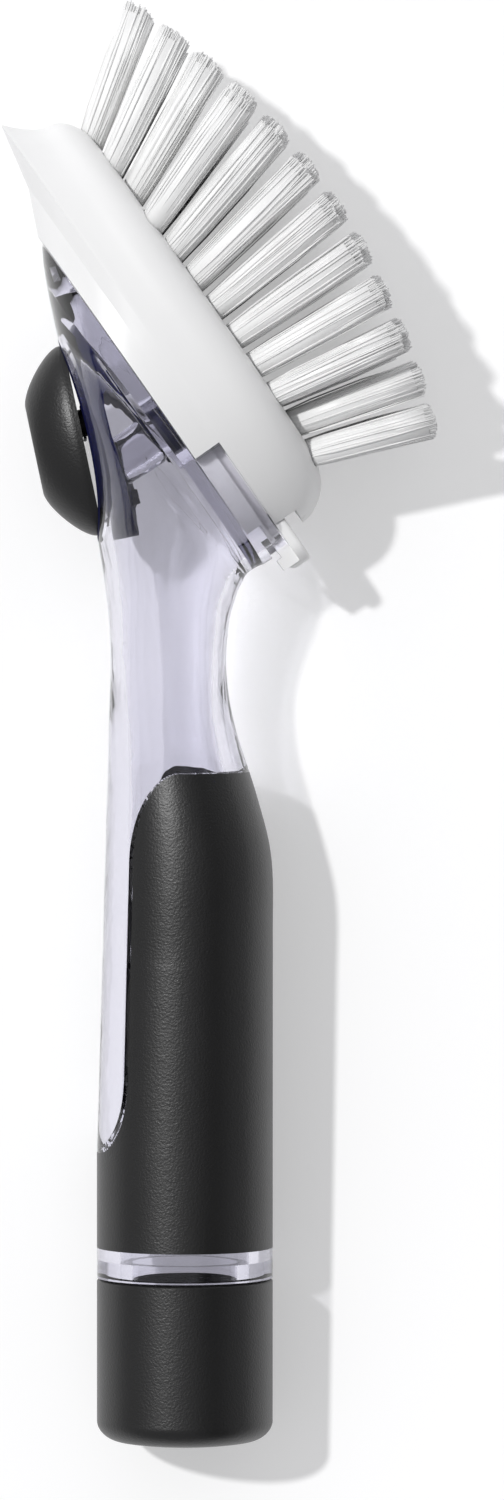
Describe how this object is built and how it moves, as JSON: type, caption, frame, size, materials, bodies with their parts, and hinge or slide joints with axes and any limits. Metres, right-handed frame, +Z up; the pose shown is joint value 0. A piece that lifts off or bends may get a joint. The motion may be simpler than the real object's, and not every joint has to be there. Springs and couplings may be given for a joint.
{
  "type": "dish wand",
  "caption": "Dish brush with a clear hollow soap handle, soft black grip and screw cap, thumb pump button and a white bristle head that slides off.",
  "frame": {"origin": "bottom centre of the bounding box, on the surface that the wand lies on", "axes": "+Y from the cap towards the head, +X the way that the bristles point, +Z up from the surface"},
  "size_m": [0.079, 0.2622, 0.0431],
  "materials": {
    "clear_plastic": "clear moulded plastic with a faint violet tint",
    "soft_black": "soft-touch black with a fine matt grain",
    "white_plastic": "satin white moulded plastic",
    "black_plastic": "plain black moulded plastic",
    "dark_plastic": "dark blue moulded plastic",
    "seal_rubber": "grey silicone rubber",
    "steel": "bright drawn steel",
    "bristle_nylon": "white nylon filament"
  },
  "bodies": {
    "handle": {"handle_shell": "clear_plastic", "head_deck": "clear_plastic", "grip_sleeve": "soft_black", "pump_cup": "dark_plastic", "return_spring": "steel", "inlet_flap": "seal_rubber", "outlet_valve": "seal_rubber", "valve_retainer": "white_plastic"},
    "button": {"button_cap": "soft_black", "button_core": "black_plastic"},
    "cap_gasket": {"cap_gasket": "seal_rubber"},
    "cap": {"cap_shell": "soft_black", "cap_core": "black_plastic"},
    "brush_head": {"brush_block": "white_plastic", "tuft_anchors": "steel", "tuft_row_1": "bristle_nylon", "tuft_row_2": "bristle_nylon", "tuft_row_3": "bristle_nylon", "tuft_row_4": "bristle_nylon", "tuft_row_5": "bristle_nylon"},
    "release_tab": {"release_tab": "white_plastic"}
  },
  "joints": [
    {"name": "button_press", "type": "slide", "parent": "handle", "child": "button", "axis": [0.9784, 0.2064, -0.014], "range_m": [0, 0.0022], "stiffness_N_per_m": 1500, "springref_m": -0.001, "deforming": ["return_spring"]},
    {"name": "cap_travel", "type": "slide", "parent": "handle", "child": "cap_gasket", "axis": [-0.0003, -0.9996, -0.0292], "range_m": [0, 0.0091]},
    {"name": "cap_turn", "type": "hinge", "parent": "cap_gasket", "child": "cap", "pos_m": [-0.00622, -0.11486, 0.01633], "axis": [-0.0003, -0.9996, -0.0292], "range_deg": [0, 810]},
    {"name": "head_slide", "type": "slide", "parent": "handle", "child": "brush_head", "axis": [-0.5732, 0.8186, 0.0357], "range_m": [0, 0.075]},
    {"name": "tab_press", "type": "hinge", "parent": "brush_head", "child": "release_tab", "pos_m": [0.0043, 0.04429, 0.02077], "axis": [0.0205, -0.0292, 0.9994], "range_deg": [0, 7], "stiffness_Nm_per_rad": 0.25, "springref_deg": -2.86}
  ],
  "couplings": [
    {"joint": "cap_travel", "follows": "cap_turn", "m_per_rad": 0.00063662}
  ]
}
